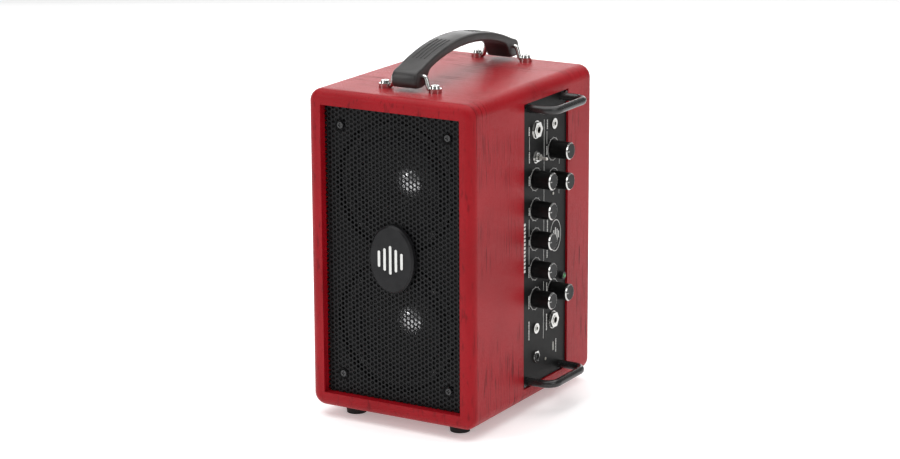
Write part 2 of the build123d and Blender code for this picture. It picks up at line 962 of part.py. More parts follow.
with BuildPart() as rear_panel_screws:
    pan_screws(
        facing_back(rear_outer),
        rear_screw_places,
        wood_screw_head,
        wood_screw_rise,
        wood_screw_radius,
        rear_panel_thickness + batten_depth / 2,
    )
rear_panel_screws.part.label = "rear_panel_screws"
export_step(rear_panel_screws.part, "parts/rear_panel_screws.step")

with BuildPart() as radiator_frames:
    for z in driver_heights.values():
        turned(
            z,
            (flange_lip_radius, radiator_front),
            (flange_radius, radiator_front),
            (flange_radius, radiator_floor),
            (radiator_wall_radius, radiator_floor),
            (radiator_wall_radius, radiator_floor - radiator_wall_depth),
            (radiator_wall_radius - basket_wall, radiator_floor - radiator_wall_depth),
            (radiator_wall_radius - basket_wall, radiator_floor),
            (flange_lip_radius, radiator_front - radiator_lip_thickness),
        )
        discs(
            facing_back(radiator_front),
            flange_screw_places(z),
            small_screw_radius + hole_gap,
            -flange_thickness,
            Mode.SUBTRACT,
        )
radiator_frames.part.label = "radiator_frames"
export_step(radiator_frames.part, "parts/radiator_frames.step")

with BuildPart() as radiator_screws:
    for z in driver_heights.values():
        pan_screws(
            facing_back(radiator_front),
            flange_screw_places(z),
            small_screw_head,
            small_screw_rise,
            small_screw_radius,
            small_screw_length,
        )
radiator_screws.part.label = "radiator_screws"
export_step(radiator_screws.part, "parts/radiator_screws.step")

for place, z in driver_heights.items():
    roll = half_roll(z, radiator_front, 1)
    with BuildPart() as radiator_surround:
        add(roll)
    radiator_surround.part.label = f"{place}_radiator_surround"
    export_step(radiator_surround.part, f"parts/{place}_radiator_surround.step")

    # Shallow dished plate with a tuning weight behind its middle
    with BuildPart() as radiator_cone:
        face = radiator_front - glue_gap
        dish = face - radiator_cone_depth
        turned(
            z,
            (roll_inner_radius, face),
            (cone_inner_radius, face),
            (radiator_mass_radius, dish),
            (0, dish),
            (0, dish - radiator_mass_depth),
            (radiator_mass_radius, dish - radiator_mass_depth),
            (radiator_mass_radius, dish - radiator_cone_wall),
            (cone_inner_radius + cone_bend, face - radiator_cone_wall),
            (roll_inner_radius, face - radiator_cone_wall),
        )
    radiator_cone.part.label = f"{place}_radiator_cone"
    export_step(radiator_cone.part, f"parts/{place}_radiator_cone.step")


# Control panel and what is fixed to it

with BuildPart() as control_panel:
    with BuildSketch(facing_right(panel_inner)):
        with Locations((panel_y, mid_z)):
            RectangleRounded(panel_width, panel_height, panel_corner_radius)
        with Locations(*knob_places.values()):
            Circle(bush_radius + hole_gap, mode=Mode.SUBTRACT)
        with Locations(*phone_places):
            Circle(phone_bush_radius + hole_gap, mode=Mode.SUBTRACT)
        with Locations(*mini_places):
            Circle(mini_bush_radius + hole_gap, mode=Mode.SUBTRACT)
        with Locations(toggle_place):
            Circle(toggle_bush_radius + hole_gap, mode=Mode.SUBTRACT)
        with Locations(dc_place):
            Circle(dc_bush_radius + hole_gap, mode=Mode.SUBTRACT)
        with Locations(port_place):
            SlotOverall(
                port_length + 2 * hole_gap,
                port_width + 2 * hole_gap,
                rotation=90,
                mode=Mode.SUBTRACT,
            )
        with Locations(power_lamp_place):
            Circle(power_lamp_radius + bezel_gap + bezel_collar + hole_gap, mode=Mode.SUBTRACT)
        with Locations(*small_lamp_places):
            Circle(small_lamp_radius + hole_gap, mode=Mode.SUBTRACT)
        with Locations(*panel_screw_places):
            Circle(panel_screw_radius + hole_gap, mode=Mode.SUBTRACT)
        with Locations(*guard_leg_places):
            Circle(guard_stud_radius + hole_gap, mode=Mode.SUBTRACT)
    extrude(amount=panel_thickness)
control_panel.part.label = "control_panel"
export_step(control_panel.part, "parts/control_panel.step")

with BuildPart() as panel_screws:
    pan_screws(
        facing_right(panel_outer),
        panel_screw_places,
        panel_screw_head,
        panel_screw_rise,
        panel_screw_radius,
        panel_screw_length,
    )
panel_screws.part.label = "panel_screws"
export_step(panel_screws.part, "parts/panel_screws.step")

for place, z in guard_heights.items():
    with BuildPart() as guard:
        level = Plane.XY.offset(z)
        reach = panel_outer + guard_reach
        near, far = panel_y - guard_half_spacing, panel_y + guard_half_spacing
        with BuildLine(level) as bar:
            FilletPolyline(
                (panel_outer, near),
                (reach, near),
                (reach, far),
                (panel_outer, far),
                radius=guard_bend,
            )
        with BuildSketch(Plane(origin=(panel_outer, near, z), x_dir=(0, 1, 0), z_dir=(1, 0, 0))):
            Circle(guard_radius)
        sweep(path=bar.wires()[0])
        discs(
            facing_right(panel_outer),
            [(near, z), (far, z)],
            guard_stud_radius,
            -panel_thickness - guard_stud_length,
        )
    guard.part.label = f"{place}_guard"
    export_step(guard.part, f"parts/{place}_guard.step")

with BuildPart() as pot_bodies:
    places = list(knob_places.values())
    discs(facing_right(panel_inner), places, pot_radius, -pot_depth)
    discs(facing_right(panel_inner), places, bush_radius, panel_thickness + bush_reach)
    discs(
        facing_right(panel_outer + bush_reach),
        places,
        shaft_radius + shaft_gap,
        -(bush_reach + panel_thickness + pot_depth - pot_back),
        Mode.SUBTRACT,
    )
pot_bodies.part.label = "pot_bodies"
export_step(pot_bodies.part, "parts/pot_bodies.step")

with BuildPart() as pot_nuts:
    hex_nuts(
        facing_right(panel_outer),
        list(knob_places.values()),
        pot_nut_flats,
        pot_nut_thickness,
        bush_radius + nut_gap,
    )
pot_nuts.part.label = "pot_nuts"
export_step(pot_nuts.part, "parts/pot_nuts.step")

with BuildPart() as phone_jacks:
    with BuildSketch(facing_right(panel_inner)):
        with Locations(*phone_places):
            Rectangle(phone_body, phone_body)
    extrude(amount=-phone_body_depth)
    discs(facing_right(panel_inner), phone_places, phone_bush_radius, panel_thickness + phone_reach)
    discs(
        facing_right(panel_outer + phone_reach),
        phone_places,
        phone_bore_radius,
        -(phone_reach + panel_thickness + phone_body_depth - phone_back),
        Mode.SUBTRACT,
    )
phone_jacks.part.label = "phone_jacks"
export_step(phone_jacks.part, "parts/phone_jacks.step")

with BuildPart() as mini_jacks:
    with BuildSketch(facing_right(panel_inner)):
        with Locations(*mini_places):
            Rectangle(mini_body, mini_body)
    extrude(amount=-mini_body_depth)
    discs(facing_right(panel_inner), mini_places, mini_bush_radius, panel_thickness + mini_reach)
    discs(
        facing_right(panel_outer + mini_reach),
        mini_places,
        mini_bore_radius,
        -(mini_reach + panel_thickness + mini_body_depth - mini_back),
        Mode.SUBTRACT,
    )
mini_jacks.part.label = "mini_jacks"
export_step(mini_jacks.part, "parts/mini_jacks.step")

with BuildPart() as toggle_housing:
    with BuildSketch(facing_right(panel_inner)):
        with Locations(toggle_place):
            Rectangle(toggle_body_width, toggle_body_height)
    extrude(amount=-toggle_body_depth)
    discs(facing_right(panel_inner), [toggle_place], toggle_bush_radius, panel_thickness + toggle_reach)
    discs(
        facing_right(panel_outer + toggle_reach),
        [toggle_place],
        toggle_ball_radius + shaft_gap,
        -(toggle_reach + toggle_bore_below_panel),
        Mode.SUBTRACT,
    )
toggle_housing.part.label = "toggle_housing"
export_step(toggle_housing.part, "parts/toggle_housing.step")

# The lever rests on its front stop. It turns on a ball inside the bush
toggle_pivot = (panel_outer + toggle_pivot_reach, *toggle_place)
lever_way = Vector(cos(radians(toggle_tilt)), -sin(radians(toggle_tilt)), 0)
with BuildPart() as toggle_lever:
    neck = Plane(origin=Vector(*toggle_pivot), z_dir=lever_way)
    tip = Plane(origin=Vector(*toggle_pivot) + lever_way * toggle_lever_length, z_dir=lever_way)
    with BuildSketch(neck):
        Circle(toggle_neck_radius)
    with BuildSketch(tip):
        Circle(toggle_lever_radius)
    loft()
    with Locations(tip.origin):
        Sphere(toggle_lever_radius)
    with Locations(toggle_pivot):
        Sphere(toggle_ball_radius)
toggle_lever.part.label = "toggle_lever"
export_step(toggle_lever.part, "parts/toggle_lever.step")

with BuildPart() as dc_inlet:
    dc_mouth = panel_outer + dc_reach
    discs(facing_right(panel_inner), [dc_place], dc_bush_radius + dc_body_wall, -dc_body_depth)
    discs(facing_right(panel_inner), [dc_place], dc_bush_radius, panel_thickness + dc_reach)
    discs(facing_right(dc_mouth), [dc_place], dc_bore_radius, -dc_bore_depth, Mode.SUBTRACT)
    discs(facing_right(dc_mouth - dc_bore_depth), [dc_place], dc_pin_radius, dc_pin_length)
dc_inlet.part.label = "dc_inlet"
export_step(dc_inlet.part, "parts/dc_inlet.step")

with BuildPart() as panel_nuts:
    outer = facing_right(panel_outer)
    phone_washer_face = facing_right(panel_outer + phone_washer_thickness)
    toggle_washer_face = facing_right(panel_outer + toggle_washer_thickness)
    phone_bore = phone_bush_radius + nut_gap
    toggle_bore = toggle_bush_radius + nut_gap
    discs(outer, phone_places, phone_washer_radius, phone_washer_thickness)
    discs(outer, phone_places, phone_bore, phone_washer_thickness, Mode.SUBTRACT)
    hex_nuts(phone_washer_face, phone_places, phone_nut_flats, phone_nut_thickness, phone_bore)
    discs(outer, mini_places, mini_nut_radius, mini_nut_thickness)
    discs(outer, mini_places, mini_bush_radius + nut_gap, mini_nut_thickness, Mode.SUBTRACT)
    discs(outer, [toggle_place], toggle_washer_radius, toggle_washer_thickness)
    discs(outer, [toggle_place], toggle_bore, toggle_washer_thickness, Mode.SUBTRACT)
    hex_nuts(toggle_washer_face, [toggle_place], toggle_nut_flats, toggle_nut_thickness, toggle_bore)
    hex_nuts(outer, [dc_place], dc_nut_flats, dc_nut_thickness, dc_bush_radius + nut_gap)
panel_nuts.part.label = "panel_nuts"
export_step(panel_nuts.part, "parts/panel_nuts.step")

with BuildPart() as usb_port:
    port_mouth = facing_right(panel_outer - port_sink)
    inside_length = port_length - 2 * port_wall
    with BuildSketch(port_mouth):
        with Locations(port_place):
            SlotOverall(port_length, port_width, rotation=90)
    extrude(amount=-port_depth)
    with BuildSketch(port_mouth):
        with Locations(port_place):
            SlotOverall(inside_length, port_width - 2 * port_wall, rotation=90)
            Rectangle(port_tongue, inside_length - 2 * port_tongue_gap, mode=Mode.SUBTRACT)
    extrude(amount=-(port_depth - port_back), mode=Mode.SUBTRACT)
usb_port.part.label = "usb_port"
export_step(usb_port.part, "parts/usb_port.step")

with BuildPart() as lamp_bezel:
    bezel_bore = power_lamp_radius + bezel_gap
    bezel_tail = facing_right(panel_inner)
    discs(bezel_tail, [power_lamp_place], bezel_bore + bezel_collar, panel_thickness)
    discs(facing_right(panel_outer), [power_lamp_place], bezel_radius, bezel_height)
    discs(bezel_tail, [power_lamp_place], bezel_bore, panel_thickness + bezel_height, Mode.SUBTRACT)
lamp_bezel.part.label = "lamp_bezel"
export_step(lamp_bezel.part, "parts/lamp_bezel.step")

with BuildPart() as lamps:
    tail = facing_right(panel_inner - lamp_tail)
    discs(tail, [power_lamp_place], power_lamp_radius, lamp_tail + panel_thickness + power_lamp_reach)
    with Locations((panel_outer + power_lamp_reach, *power_lamp_place)):
        Sphere(power_lamp_radius)
    discs(tail, small_lamp_places, small_lamp_radius, lamp_tail + panel_thickness + small_lamp_reach)
lamps.part.label = "lamps"
export_step(lamps.part, "parts/lamps.step")


# Knobs: a tapered cap over the nut, with the pot's shaft pressed into it

knob_face = knob_base + knob_length
knob_cavity_radius = knob_radius - knob_skirt
cavity_floor = panel_outer + bush_reach + knob_bush_clearance
shaft_end = board_front + pot_back + shaft_end_gap

for name, (y, z) in knob_places.items():
    with BuildPart() as knob:
        axle = Plane(origin=(0, y, z), x_dir=(1, 0, 0), z_dir=(0, -1, 0))
        with BuildSketch(axle):
            with BuildLine():
                Polyline(
                    (knob_base, knob_cavity_radius),
                    (knob_base, knob_radius),
                    (knob_face - knob_chamfer, knob_top_radius),
                    (knob_face, knob_top_radius - knob_chamfer),
                    (knob_face - knob_face_sink, knob_top_radius - knob_chamfer - knob_rim),
                    (knob_face - knob_face_sink, 0),
                    (shaft_end, 0),
                    (shaft_end, shaft_radius),
                    (cavity_floor, shaft_radius),
                    (cavity_floor, knob_cavity_radius),
                    close=True,
                )
            make_face()
        revolve(axis=Axis((0, y, z), (1, 0, 0)))
    knob.part.label = f"{name}_knob"
    export_step(knob.part, f"parts/{name}_knob.step")


# Electronics in the chassis behind the panel

with BuildPart() as amp_chassis:
    with BuildSketch(facing_right(chassis_floor)):
        with Locations((panel_y, mid_z)):
            Rectangle(chassis_width, chassis_height)
    extrude(amount=chassis_depth)
    with BuildSketch(facing_right(chassis_floor + chassis_wall)):
        with Locations((panel_y, mid_z)):
            Rectangle(chassis_width - 2 * chassis_wall, chassis_height - 2 * chassis_wall)
    extrude(amount=chassis_depth, mode=Mode.SUBTRACT)
amp_chassis.part.label = "amp_chassis"
export_step(amp_chassis.part, "parts/amp_chassis.step")

with BuildPart() as main_board:
    cutout = phone_body + 2 * board_cutout_gap
    with BuildSketch(facing_right(board_front)):
        with Locations((panel_y, mid_z)):
            Rectangle(
                chassis_width - 2 * (chassis_wall + board_margin),
                chassis_height - 2 * (chassis_wall + board_margin),
            )
        with Locations(*phone_places):
            Rectangle(cutout, cutout, mode=Mode.SUBTRACT)
    extrude(amount=-board_thickness)
main_board.part.label = "main_board"
export_step(main_board.part, "parts/main_board.step")

with BuildPart() as heatsink:
    with BuildSketch(facing_right(sink_floor)):
        with Locations((panel_y, mid_z + sink_middle)):
            Rectangle(sink_width, sink_height)
    extrude(amount=sink_base)
    with BuildSketch(facing_right(sink_floor + sink_base)):
        with Locations((panel_y, mid_z + sink_middle)):
            with GridLocations((sink_width - fin_thickness) / (fin_count - 1), 0, fin_count, 1):
                Rectangle(fin_thickness, sink_height)
    extrude(amount=fin_depth)
heatsink.part.label = "heatsink"
export_step(heatsink.part, "parts/heatsink.step")

with BuildPart() as battery_pack:
    with BuildSketch(facing_right(sink_floor)):
        with Locations((panel_y, mid_z + battery_middle)):
            RectangleRounded(sink_width, battery_height, battery_corner)
    extrude(amount=battery_depth)
battery_pack.part.label = "battery_pack"
export_step(battery_pack.part, "parts/battery_pack.step")


# Handle: a moulded strap looped round two wire brackets that are screwed to the top

rod_z = top_z + rod_lift
wire_z = top_z + rod_radius
wire_end = eye_half_width - eye_radius / 2
eye_thickness = 2 * rod_radius
top_face = Plane.XY.offset(top_z)
eye_face = Plane.XY.offset(top_z + eye_thickness)

with BuildPart() as handle_brackets:
    for y in (handle_y - rod_half_span, handle_y + rod_half_span):
        with BuildLine(Plane(origin=(cab_x, y, 0), x_dir=(1, 0, 0), z_dir=(0, -1, 0))) as wire:
            FilletPolyline(
                (-wire_end, wire_z),
                (-rod_foot_half_width, wire_z),
                (-rod_half_width, rod_z),
                (rod_half_width, rod_z),
                (rod_foot_half_width, wire_z),
                (wire_end, wire_z),
                radius=rod_bend,
            )
        path = wire.wires()[0]
        with BuildSketch(Plane(origin=path @ 0, z_dir=path % 0)):
            Circle(rod_radius)
        sweep(path=path)
    discs(top_face, handle_screw_places, eye_radius, eye_thickness)
    discs(top_face, handle_screw_places, wood_hole, eye_thickness, Mode.SUBTRACT)
    discs(eye_face, handle_screw_places, handle_screw_head + eye_head_gap, rod_lift, Mode.SUBTRACT)
handle_brackets.part.label = "handle_brackets"
export_step(handle_brackets.part, "parts/handle_brackets.step")

with BuildPart() as handle_screws:
    pan_screws(
        eye_face,
        handle_screw_places,
        handle_screw_head,
        handle_screw_rise,
        wood_screw_radius,
        wood_screw_length + eye_thickness / 2,
    )
handle_screws.part.label = "handle_screws"
export_step(handle_screws.part, "parts/handle_screws.step")

with BuildPart() as handle_strap:
    crown_z = top_z + strap_rise
    side_view = Plane(origin=(cab_x, 0, 0), x_dir=(0, 1, 0), z_dir=(1, 0, 0))
    arch_length = 2 * (rod_half_span + strap_end_reach - strap_end_corner)
    end_middle = rod_half_span + strap_end_reach - strap_end_length / 2
    with BuildSketch(side_view):
        with Locations((handle_y, crown_z - strap_arc_radius)):
            Circle(strap_arc_radius)
            Circle(strap_arc_radius - strap_thickness, mode=Mode.SUBTRACT)
        with Locations((handle_y, crown_z)):
            Rectangle(arch_length, strap_arc_radius, mode=Mode.INTERSECT)
        with Locations(*[(handle_y + side * end_middle, rod_z - strap_end_drop) for side in (-1, 1)]):
            RectangleRounded(strap_end_length, strap_end_height, strap_end_corner)
        with Locations(*[(handle_y + side * rod_half_span, rod_z) for side in (-1, 1)]):
            Circle(rod_radius + rod_gap, mode=Mode.SUBTRACT)
    extrude(amount=strap_width / 2, both=True)
handle_strap.part.label = "handle_strap"
export_step(handle_strap.part, "parts/handle_strap.step")
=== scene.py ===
from math import asin, cos, radians, sin, sqrt, tau

import bmesh
import bpy
from mathutils import Matrix, Vector


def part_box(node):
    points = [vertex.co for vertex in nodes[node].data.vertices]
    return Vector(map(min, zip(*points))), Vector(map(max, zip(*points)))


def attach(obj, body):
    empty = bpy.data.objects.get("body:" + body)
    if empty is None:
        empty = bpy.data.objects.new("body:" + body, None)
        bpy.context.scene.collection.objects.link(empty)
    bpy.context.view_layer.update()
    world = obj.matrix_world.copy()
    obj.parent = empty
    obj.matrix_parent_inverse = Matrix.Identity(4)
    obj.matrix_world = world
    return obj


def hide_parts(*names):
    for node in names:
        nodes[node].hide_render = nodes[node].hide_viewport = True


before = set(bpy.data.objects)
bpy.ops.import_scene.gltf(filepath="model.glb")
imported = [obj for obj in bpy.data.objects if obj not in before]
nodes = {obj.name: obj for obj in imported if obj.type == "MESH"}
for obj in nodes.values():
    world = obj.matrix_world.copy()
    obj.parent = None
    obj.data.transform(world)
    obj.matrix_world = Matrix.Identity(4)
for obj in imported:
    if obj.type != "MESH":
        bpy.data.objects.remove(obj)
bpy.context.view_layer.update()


# Studio. The amplifier stands on a wide pale sweep, turned so that its front and its control
# side both show, under one large soft overhead light with a softer one at each side.

view_turn = radians(30.474)
view_rise = radians(14.534)
view_roll = radians(-0.257)
view_distance = 2.7196
lens_length = 108.23
view_offset = Vector((-0.003, -0.0018, 0.0035))
wrap_lo, wrap_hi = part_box("vinyl_covering")
view_target = (wrap_lo + wrap_hi) / 2 + view_offset
away = Vector((sin(view_turn) * cos(view_rise), -cos(view_turn) * cos(view_rise), sin(view_rise)))
camera = bpy.data.objects.new("camera", bpy.data.cameras.new("camera"))
camera.data.lens = lens_length
camera.location = view_target + away * view_distance
camera.rotation_euler = (
    away.to_track_quat("Z", "Y").to_matrix() @ Matrix.Rotation(view_roll, 3, "Z")
).to_euler()
bpy.context.scene.collection.objects.link(camera)
bpy.context.scene.camera = camera
bpy.context.scene.view_settings.view_transform = "Standard"

world = bpy.data.worlds.new("studio_air")
world.use_nodes = True
world.node_tree.nodes["Background"].inputs["Color"].default_value = (1, 1, 1, 1)
world.node_tree.nodes["Background"].inputs["Strength"].default_value = 0.26
bpy.context.scene.world = world

# Each light's place, the point it faces, its sides in metres and its power in watts.
lights = {
    "overhead": ((-0.1, 0.1, 2.3), (0, 0, 0.1), (3.4, 3.0), 74),
    "front_left": ((-1.7, -2.3, 1.3), (0, 0, 0.2), (0.7, 1.0), 17),
    "right": ((2.5, -0.9, 1.5), (0, 0, 0.15), (1.0, 1.4), 14),
    "behind": ((-1.15, 1.95, 0.75), (0, 0, 0.3), (2.2, 0.9), 15),
}
for name, (at, towards, size, power) in lights.items():
    lamp = bpy.data.objects.new(name, bpy.data.lights.new(name, "AREA"))
    lamp.data.shape = "RECTANGLE"
    lamp.data.size, lamp.data.size_y = size
    lamp.data.energy = power
    lamp.location = at
    lamp.rotation_euler = (Vector(at) - Vector(towards)).to_track_quat("Z", "Y").to_euler()
    bpy.context.scene.collection.objects.link(lamp)


class Wire:
    """A value carried by a node's socket. Arithmetic on wires adds Math nodes."""

    def __init__(self, tree, socket):
        self.tree = tree
        self.socket = socket

    def node(self, kind, settings, sockets, out=0):
        """Adds a node: its settings first, then its sockets' values or links."""
        made = self.tree.nodes.new("ShaderNode" + kind)
        for name, value in settings.items():
            setattr(made, name, value)
        for name, value in sockets.items():
            if isinstance(value, Wire):
                self.tree.links.new(value.socket, made.inputs[name])
            else:
                made.inputs[name].default_value = value
        return Wire(self.tree, made.outputs[out])

    def math(self, operation, first, second=0.0):
        return self.node("Math", {"operation": operation}, {0: first, 1: second})

    def __add__(self, other):
        return self.math("ADD", self, other)

    def __sub__(self, other):
        return self.math("SUBTRACT", self, other)

    def __rsub__(self, other):
        return self.math("SUBTRACT", other, self)

    def __mul__(self, other):
        return self.math("MULTIPLY", self, other)

    __radd__ = __add__
    __rmul__ = __mul__


def new_finish(name, constants):
    """A material with those constants on its shader, and the place on the object as a wire."""
    finish = bpy.data.materials.new(name)
    finish.use_nodes = True
    shader = finish.node_tree.nodes["Principled BSDF"]
    for socket, value in constants.items():
        shader.inputs[socket].default_value = value
    place = finish.node_tree.nodes.new("ShaderNodeTexCoord")
    return finish, Wire(finish.node_tree, place.outputs["Object"])


def feed(finish, **wires):
    """Links wires to the shader's sockets. An underscore stands for a space."""
    shader = finish.node_tree.nodes["Principled BSDF"]
    for socket, wire in wires.items():
        finish.node_tree.links.new(wire.socket, shader.inputs[socket.replace("_", " ")])


def noise(place, scale, detail=3.0, stretch=(1, 1, 1)):
    """A smooth random value from 0 to 1, with features about 1 / scale metres across."""
    put = place.node("Mapping", {}, {"Vector": place, "Scale": stretch})
    return place.node("TexNoise", {}, {"Vector": put, "Scale": scale, "Detail": detail})


def blend(factor, low, high):
    """A colour that goes from low to high with the factor."""
    low = low if isinstance(low, Wire) else (*low, 1)
    high = high if isinstance(high, Wire) else (*high, 1)
    return factor.node("Mix", {"data_type": "RGBA"}, {0: factor, 6: low, 7: high}, out=2)


def spread(value, low, high, low_to=0.0, high_to=1.0):
    """The value's range from low to high, eased and clamped, onto another range."""
    ranges = {1: low, 2: high, 3: low_to, 4: high_to}
    return value.node("MapRange", {"interpolation_type": "SMOOTHSTEP"}, {0: value, **ranges})


def relief(height, depth, strength=1.0):
    """Bumps of that depth in metres from a height between 0 and 1."""
    return height.node("Bump", {}, {"Height": height, "Distance": depth, "Strength": strength})


def grained(name, dark, light, scale, rough, depth, constants=None, spots=None):
    """A finish that varies between two colours, with roughness and fine bumps from its grain."""
    finish, place = new_finish(name, {"Specular IOR Level": 0.28, **(constants or {})})
    grain = noise(place, scale)
    broad = noise(place, spots or scale / 20)
    feed(
        finish,
        Base_Color=blend(spread(broad * 0.7 + grain * 0.3, 0.3, 0.7), dark, light),
        Roughness=spread(broad * 0.5 + grain * 0.5, 0.3, 0.7, *rough),
        Normal=relief(grain, depth),
    )
    return finish


floor_reach = 12
floor_shape = bmesh.new()
bmesh.ops.create_grid(floor_shape, x_segments=1, y_segments=1, size=floor_reach)
floor = bpy.data.objects.new("floor", bpy.data.meshes.new("floor"))
floor_shape.to_mesh(floor.data)
floor_shape.free()
floor.data.materials.append(
    grained(
        "floor_paint", (0.9, 0.9, 0.9), (0.94, 0.94, 0.94), 60, (0.8, 0.9), 0.0001,
        {"Specular IOR Level": 0.05, "Emission Color": (1, 1, 1, 1), "Emission Strength": 0.3},
    )
)
bpy.context.scene.collection.objects.link(floor)


# Cabinet. Six fibreboard panels are glued and rounded over into one sleeve, and leather-grained
# vinyl is stretched round it and over its lips. The wrap's creases run round the sleeve.

def coat(finish, *names):
    """Gives CAD nodes a finish."""
    for name in names:
        nodes[name].data.materials.clear()
        nodes[name].data.materials.append(finish)


fibreboard = grained("fibreboard", (0.33, 0.22, 0.12), (0.5, 0.36, 0.22), 900, (0.8, 0.95), 0.0001)
coat(fibreboard, "cabinet_carcass")

vinyl, place = new_finish("red_vinyl", {"Specular IOR Level": 0.17})
cells = place.node(
    "TexVoronoi", {"feature": "DISTANCE_TO_EDGE"}, {"Vector": place, "Scale": 760.0, "Randomness": 1.0}
)
pores = spread(cells, 0.02, 0.22)
# The sleeve's sides, top and base take long streaks, and the lips round its ends take fine cracks.
normal = place.node("NewGeometry", {}, {}, out=1)
facing = normal.node("SeparateXYZ", {}, {0: normal}, out=1)
sleeve = spread(facing.math("ABSOLUTE", facing), 0.4, 0.85, 1.0, 0.0)
creases = spread(noise(place, 1.0, 4.0, (26, 640, 26)), 0.52, 0.66)
patches = spread(noise(place, 12.0, 2.0), 0.42, 0.62)
cracks = spread(noise(place, 1.0, 4.0, (300, 300, 70)), 0.56, 0.7)
marks = creases * patches * sleeve + cracks * (1 - sleeve) * 0.5
tone = noise(place, 9.0, 3.0)
red = blend(spread(tone, 0.3, 0.7), (0.3, 0.003, 0.008), (0.38, 0.006, 0.013))
red = blend(marks * 0.9, red, (0.06, 0.002, 0.004))
red = blend((1 - pores) * 0.35, red, (0.17, 0.002, 0.005))
folds = noise(place, 1.0, 3.0, (240, 900, 240))
feed(
    vinyl,
    Base_Color=red,
    Roughness=spread(tone * 0.5 + pores * 0.5, 0.2, 0.9, 0.44, 0.32) + marks * 0.15,
    Normal=relief(pores * 0.55 + folds * 0.5 - marks * 0.5, 0.00022, 0.6),
)
coat(vinyl, "vinyl_covering")


# Feet. Four turned rubber feet, each held up into the base by a wood screw in its recess.

rubber = grained("foot_rubber", (0.011, 0.011, 0.011), (0.022, 0.022, 0.022), 1400, (0.6, 0.8), 0.00006)
coat(rubber, "feet")

zinc, place = new_finish("zinc_plate", {"Metallic": 1.0})
wear = noise(place, 420.0)
feed(
    zinc,
    Base_Color=blend(wear, (0.44, 0.44, 0.42), (0.66, 0.66, 0.62)),
    Roughness=spread(wear, 0.3, 0.7, 0.24, 0.42),
    Normal=relief(noise(place, 2600.0), 0.00002),
)
coat(zinc, "foot_screws")


# Front board. Fibreboard sprayed matt black, rebated for the two driver flanges.

sprayed_board = grained(
    "black_spray", (0.016, 0.016, 0.016), (0.034, 0.034, 0.034), 700, (0.75, 0.9), 0.00012
)
coat(sprayed_board, "baffle")


# Drivers. A pressed steel basket carries the ferrite ring between its two plates, a coated paper
# cone on a rubber roll, and a spun aluminium dust cap over the voice coil.

powder = grained("powder_coat", (0.012, 0.012, 0.012), (0.024, 0.024, 0.025), 2400, (0.42, 0.55), 0.00004)
coat(powder, "driver_baskets")
coat(
    grained("ferrite_ring", (0.02, 0.02, 0.021), (0.05, 0.05, 0.052), 1500, (0.6, 0.8), 0.00006),
    "driver_magnets",
)
coat(zinc, "driver_pole_plates")
gasket_foam = grained("gasket_foam", (0.008, 0.008, 0.008), (0.02, 0.02, 0.02), 3000, (0.85, 0.95), 0.0001)
coat(gasket_foam, "driver_gaskets")

black_screw = grained(
    "black_screw", (0.008, 0.008, 0.009), (0.02, 0.02, 0.022), 2600, (0.14, 0.24), 0.00002,
    {"Specular IOR Level": 0.6},
)
coat(black_screw, "driver_screws")

butyl = grained("butyl_roll", (0.012, 0.012, 0.013), (0.026, 0.026, 0.028), 1700, (0.45, 0.6), 0.00003)
coat(butyl, "upper_surround", "lower_surround")


def radius_about(place, node):
    """Distance from the axis through the middle of a node whose axis runs front to back."""
    low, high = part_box(node)
    middle = (low + high) / 2
    put = place.node("VectorMath", {"operation": "SUBTRACT"}, {0: place, 1: middle})
    flat = place.node("VectorMath", {"operation": "MULTIPLY"}, {0: put, 1: (1, 0, 1)})
    return place.node("VectorMath", {"operation": "LENGTH"}, {0: flat}, out=1)


def turned_lines(radius, scale):
    """The fine rings that a lathe leaves, about 1 / scale metres apart."""
    return radius.node(
        "TexNoise", {"noise_dimensions": "1D"}, {"W": radius, "Scale": scale, "Detail": 2.0}
    )


for end in ("upper", "lower"):
    paper, place = new_finish(end + "_cone_paper", {})
    radius = radius_about(place, end + "_cone")
    fibres = noise(place, 1300.0, 4.0)
    pulp = noise(place, 90.0)
    rings = noise(radius, 1600.0, 1.0)
    mottle = spread(fibres * 0.6 + pulp * 0.4, 0.3, 0.7)
    feed(
        paper,
        Base_Color=blend(mottle, (0.014, 0.014, 0.014), (0.034, 0.034, 0.033)),
        Roughness=spread(pulp, 0.3, 0.7, 0.6, 0.8),
        Normal=relief(fibres * 0.6 + rings * 0.4, 0.00008),
    )
    coat(paper, end + "_cone")

    spun, place = new_finish(end + "_cap_metal", {"Metallic": 0.85})
    radius = radius_about(place, end + "_dust_cap")
    lathe_lines = turned_lines(radius, 5200.0)
    haze = noise(place, 160.0)
    sheen = spread(haze * 0.5 + lathe_lines * 0.5, 0.3, 0.7)
    feed(
        spun,
        Base_Color=blend(sheen, (0.88, 0.88, 0.9), (0.97, 0.97, 0.98)),
        Roughness=spread(haze, 0.3, 0.7, 0.2, 0.28),
        Normal=relief(lathe_lines, 0.00003),
    )
    coat(spun, end + "_dust_cap")

cloth, place = new_finish("spider_cloth", {})
threads = {"Vector": place, "Scale": 520.0, "Distortion": 0.4}
warp = place.node("TexWave", {"bands_direction": "X"}, threads)
weft = place.node("TexWave", {"bands_direction": "Z"}, threads)
resin = noise(place, 200.0)
weave = spread(resin * 0.5 + warp * 0.25 + weft * 0.25, 0.3, 0.7)
feed(
    cloth,
    Base_Color=blend(weave, (0.3, 0.19, 0.06), (0.55, 0.38, 0.15)),
    Roughness=spread(resin, 0.3, 0.7, 0.6, 0.8),
    Normal=relief(warp * 0.5 + weft * 0.5, 0.00006),
)
coat(cloth, "upper_spider", "lower_spider")


# Grille. One flat steel sheet punched all over with staggered round holes, dished at its four
# corners for the screws, and powder coated satin black.

